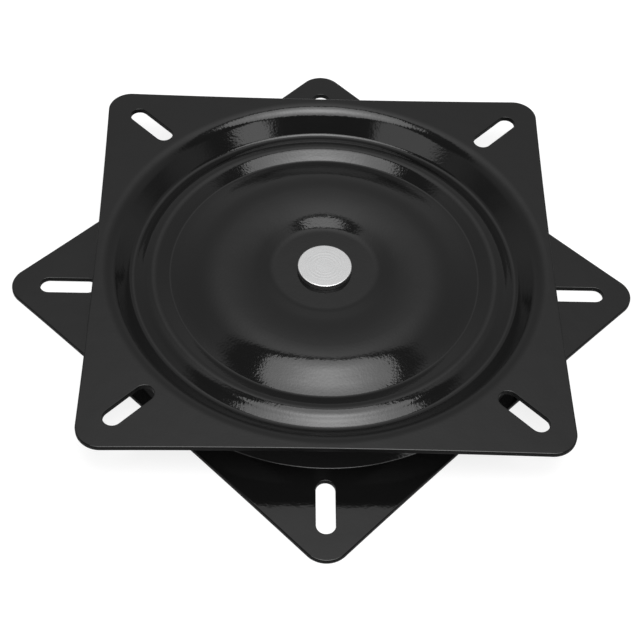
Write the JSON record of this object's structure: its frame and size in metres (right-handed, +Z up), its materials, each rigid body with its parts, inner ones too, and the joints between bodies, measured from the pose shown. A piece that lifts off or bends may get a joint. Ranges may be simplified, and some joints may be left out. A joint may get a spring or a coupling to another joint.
{
  "type": "lazy susan bearing",
  "caption": "Square swivel plate: two pressed, black-coated steel plates turning on a ring of caged balls, joined by a centre rivet, with radial screw slots.",
  "frame": {"origin": "on the turning axis, level with the underside of the lower flange", "axes": "+Z up along the turning axis; the lower plate's corners and slots lie on X and Y, the upper plate's sides are parallel to X and Y at rest"},
  "size_m": [0.3418, 0.3418, 0.0298],
  "materials": {
    "plate_coat": "gloss black stoved coat",
    "rivet_steel": "bright zinc",
    "washer_nylon": "natural nylon",
    "cage_steel": "plain, lightly oiled",
    "ball_steel": "ground and polished"
  },
  "bodies": {
    "base": {"lower_plate": "plate_coat", "centre_rivet": "rivet_steel", "spacer_washer": "washer_nylon"},
    "top": {"upper_plate": "plate_coat"},
    "ball_ring": {"ball_cage": "cage_steel", "ball_01": "ball_steel", "ball_02": "ball_steel", "ball_03": "ball_steel", "ball_04": "ball_steel", "ball_05": "ball_steel", "ball_06": "ball_steel", "ball_07": "ball_steel", "ball_08": "ball_steel", "ball_09": "ball_steel", "ball_10": "ball_steel", "ball_11": "ball_steel", "ball_12": "ball_steel", "ball_13": "ball_steel", "ball_14": "ball_steel", "ball_15": "ball_steel", "ball_16": "ball_steel", "ball_17": "ball_steel", "ball_18": "ball_steel", "ball_19": "ball_steel", "ball_20": "ball_steel", "ball_21": "ball_steel", "ball_22": "ball_steel", "ball_23": "ball_steel", "ball_24": "ball_steel", "ball_25": "ball_steel", "ball_26": "ball_steel", "ball_27": "ball_steel", "ball_28": "ball_steel"}
  },
  "joints": [
    {"name": "swivel", "type": "hinge", "parent": "base", "child": "top", "pos_m": [0, 0, 0.0149], "axis": [0, 0, 1], "continuous": true},
    {"name": "cage_turn", "type": "hinge", "parent": "base", "child": "ball_ring", "pos_m": [0, 0, 0.0149], "axis": [0, 0, 1], "continuous": true}
  ],
  "couplings": [
    {"joint": "cage_turn", "follows": "swivel", "ratio": 0.5}
  ]
}
